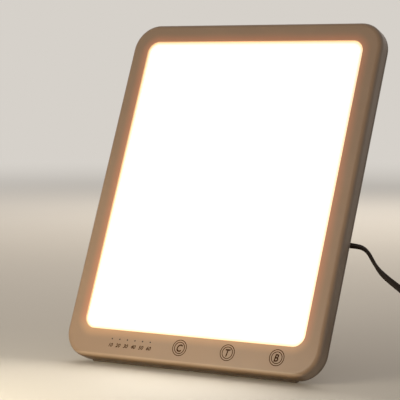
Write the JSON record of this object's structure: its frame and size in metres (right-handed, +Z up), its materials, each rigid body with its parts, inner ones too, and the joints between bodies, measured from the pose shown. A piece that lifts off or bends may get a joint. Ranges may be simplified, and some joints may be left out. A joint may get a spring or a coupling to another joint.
{
  "type": "light therapy lamp",
  "caption": "Tablet-shaped light therapy lamp: glowing opal window, touch keys below it, folding rear leg, DC lead and wall adapter.",
  "frame": {"origin": "on the table, under the middle of the lamp's bounding box without its lead and adapter", "axes": "+X to the right as the user sees the lamp, the lit face looks towards -Y, +Z up; the panel leans back 22.7 degrees"},
  "size_m": [0.3393, 0.1512, 0.2278],
  "materials": {
    "frame_plastic": "satin, champagne tan",
    "cover_plastic": "fine texture, tan",
    "opal_plate": "opal, lit from behind",
    "foam": "soft foam",
    "clear_acrylic": "clear",
    "white_film": "matt white film",
    "aluminium_sheet": "mill finish",
    "led_package": "phosphor yellow",
    "circuit_board": "green solder resist",
    "screw_steel": "black zinc",
    "connector_plastic": "natural nylon",
    "ribbon_film": "flat film",
    "chip_plastic": "black",
    "capacitor_can": "sleeved can",
    "wire_insulation": "red",
    "contact_metal": "nickel plated",
    "foot_rubber": "matt",
    "pin_steel": "ground",
    "cord_plastic": "flexible, satin black",
    "tie_plastic": "flat strip",
    "adapter_plastic": "fine texture, black"
  },
  "bodies": {
    "panel": {"front_frame": "frame_plastic", "gasket": "foam", "diffuser_plate": "opal_plate", "light_guide": "clear_acrylic", "reflector_sheet": "white_film", "back_plate": "aluminium_sheet", "light_pipes": "clear_acrylic", "indicator_leds": "led_package", "touch_pads": "foam", "control_board": "circuit_board", "control_screws": "screw_steel", "control_connector": "connector_plastic", "ribbon": "ribbon_film", "driver_board": "circuit_board", "driver_screws": "screw_steel", "driver_chips": "chip_plastic", "board_connectors": "connector_plastic", "capacitors": "capacitor_can", "led_wires": "wire_insulation", "jack_body": "chip_plastic", "jack_pin": "contact_metal", "jack_tails": "contact_metal", "jack_riser": "connector_plastic", "rear_cover": "cover_plastic", "cover_screws": "screw_steel", "rubber_feet": "foot_rubber", "hinge_pin": "pin_steel", "led_bar_left": "circuit_board", "led_bar_right": "circuit_board", "led_chips_left": "led_package", "led_chips_right": "led_package", "heat_rail_left": "aluminium_sheet", "heat_rail_right": "aluminium_sheet"},
    "stand": {"stand_leg": "cover_plastic", "leg_foot_pad": "foot_rubber"},
    "cord_set": {"plug_overmold": "cord_plastic", "plug_barrel": "contact_metal", "plug_relief": "cord_plastic", "cord_lead": "cord_plastic", "cord_coil": "cord_plastic", "coil_tie": "tie_plastic", "cord_tail": "cord_plastic", "adapter_base": "adapter_plastic", "adapter_cover": "adapter_plastic", "adapter_blades": "contact_metal", "adapter_relief": "cord_plastic", "adapter_board": "circuit_board", "adapter_transformer": "chip_plastic"}
  },
  "joints": [
    {"name": "stand_hinge", "type": "hinge", "parent": "panel", "child": "stand", "pos_m": [0, 0.0168, 0.13647], "axis": [-1, 0, 0], "range_deg": [0, 37.7]},
    {"name": "plug_slide", "type": "slide", "parent": "panel", "child": "cord_set", "axis": [1, 0, 0], "range_m": [0, 0.013]}
  ]
}
